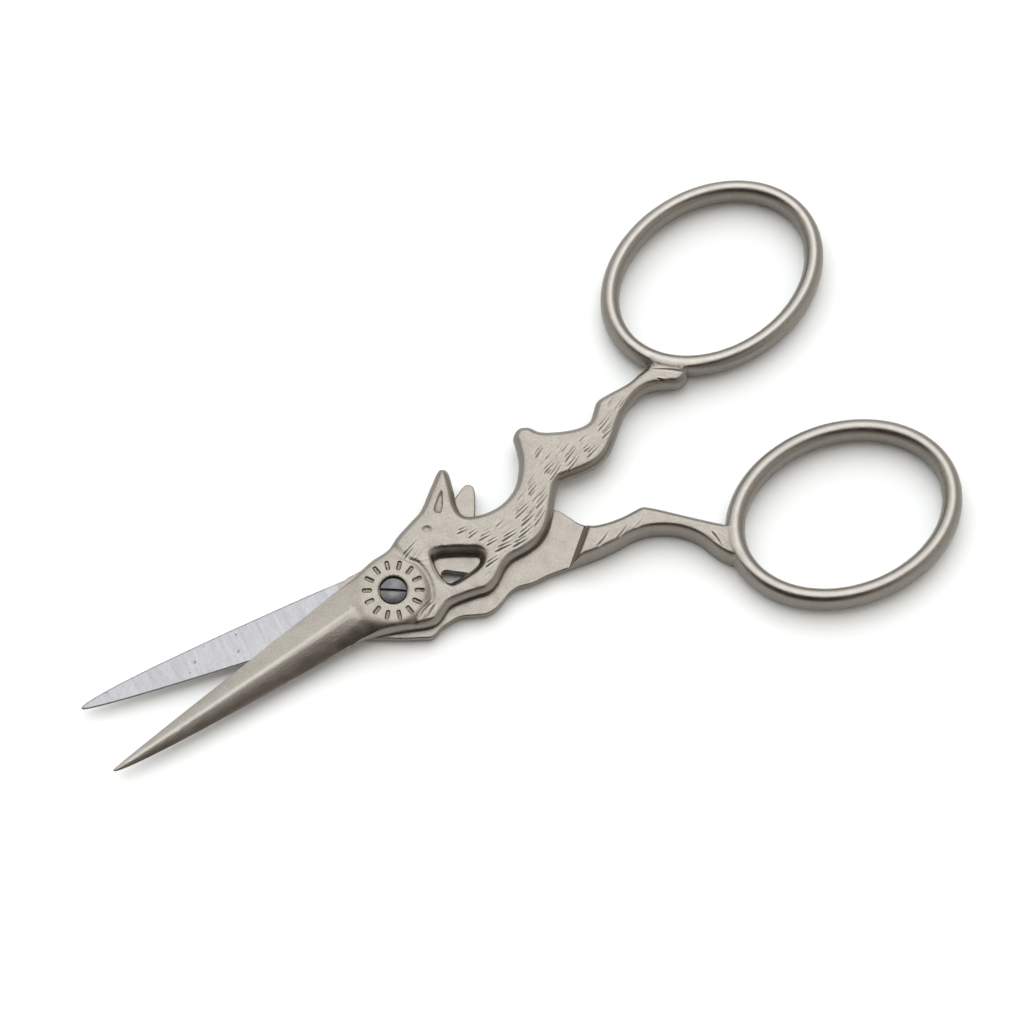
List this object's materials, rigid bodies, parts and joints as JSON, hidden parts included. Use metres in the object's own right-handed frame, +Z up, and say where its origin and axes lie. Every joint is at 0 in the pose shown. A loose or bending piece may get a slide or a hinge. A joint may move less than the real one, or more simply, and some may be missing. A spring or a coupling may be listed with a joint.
{
  "type": "embroidery scissors",
  "caption": "Small needlework scissors with slender half-round blades, animal-figure handles in satin nickel and oval finger rings, turning on a slotted screw.",
  "frame": {"origin": "on the pivot axis, in the plane that the scissors lie on", "axes": "+X from the pivot towards the finger rings along the line midway between the two halves, +Z up along the pivot axis, out of the screw head"},
  "size_m": [0.0982, 0.0526, 0.0036],
  "materials": {
    "front_half_nickel": "satin bead-blasted nickel plate",
    "back_half_nickel": "satin nickel plate, ground steel on the blade's inner face",
    "screw_steel": "plain turned steel, slightly grey"
  },
  "bodies": {
    "lower": {"back_half": "back_half_nickel", "pivot_screw": "screw_steel"},
    "upper": {"front_half": "front_half_nickel"}
  },
  "joints": [
    {"name": "pivot", "type": "hinge", "parent": "lower", "child": "upper", "pos_m": [0, 0, 0], "axis": [0, 0, 1], "range_deg": [-12, 77.5]}
  ]
}
